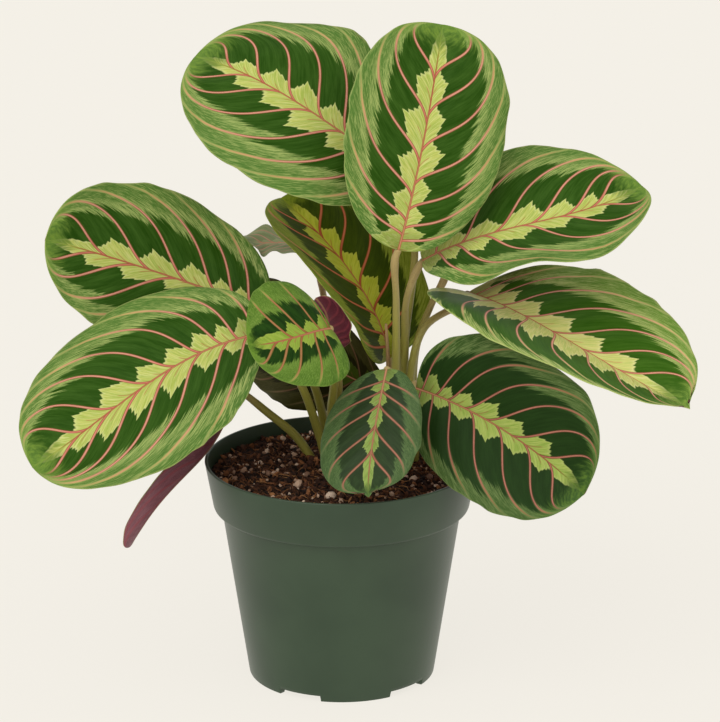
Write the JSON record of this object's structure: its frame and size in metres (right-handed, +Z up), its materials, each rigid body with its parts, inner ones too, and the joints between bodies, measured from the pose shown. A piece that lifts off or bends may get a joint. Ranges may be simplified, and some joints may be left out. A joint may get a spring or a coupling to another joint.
{
  "type": "potted prayer plant",
  "caption": "Prayer plant with broad patterned leaves on slender stalks, rooted in potting mix in a tapering nursery pot that stands on feet.",
  "frame": {"origin": "middle of the flat pad under the pot, on the surface that the pot stands on", "axes": "+Z up out of the pot, +X to the viewer's right, +Y away from the viewer"},
  "size_m": [0.2738, 0.1625, 0.2768],
  "materials": {
    "pot_plastic": "dark green satin plastic",
    "potting_mix": "dark brown bark and peat with pale perlite grains",
    "dry_sheath": "dry brown papery sheath",
    "stalk": "satin olive green stalk",
    "leaf": "satin leaf, dark green with a lime middle and salmon veins",
    "leaf_underside": "satin burgundy leaf underside"
  },
  "bodies": {
    "root": {"pot": "pot_plastic", "soil": "potting_mix", "dry_sheath": "dry_sheath", "stalk_top_left": "stalk", "leaf_top_left": "leaf", "stalk_top_centre": "stalk", "leaf_top_centre": "leaf", "stalk_upper_right": "stalk", "leaf_upper_right": "leaf", "stalk_right": "stalk", "leaf_right": "leaf", "stalk_lower_right": "stalk", "leaf_lower_right": "leaf", "stalk_small_front": "stalk", "leaf_small_front": "leaf", "stalk_small_centre": "stalk", "leaf_small_centre": "leaf", "stalk_upper_left": "stalk", "leaf_upper_left": "leaf", "stalk_lower_left": "stalk", "leaf_lower_left": "leaf", "stalk_centre_back": "stalk", "leaf_centre_back": "leaf", "stalk_rolled_left": "stalk", "leaf_rolled_left": "leaf", "stalk_far_back": "stalk", "leaf_far_back": "leaf", "stalk_curled_centre": "stalk", "leaf_curled_centre": "leaf_underside", "stalk_low_back": "stalk", "leaf_low_back": "leaf", "stalk_back_right": "stalk", "leaf_back_right": "leaf"}
  },
  "joints": []
}
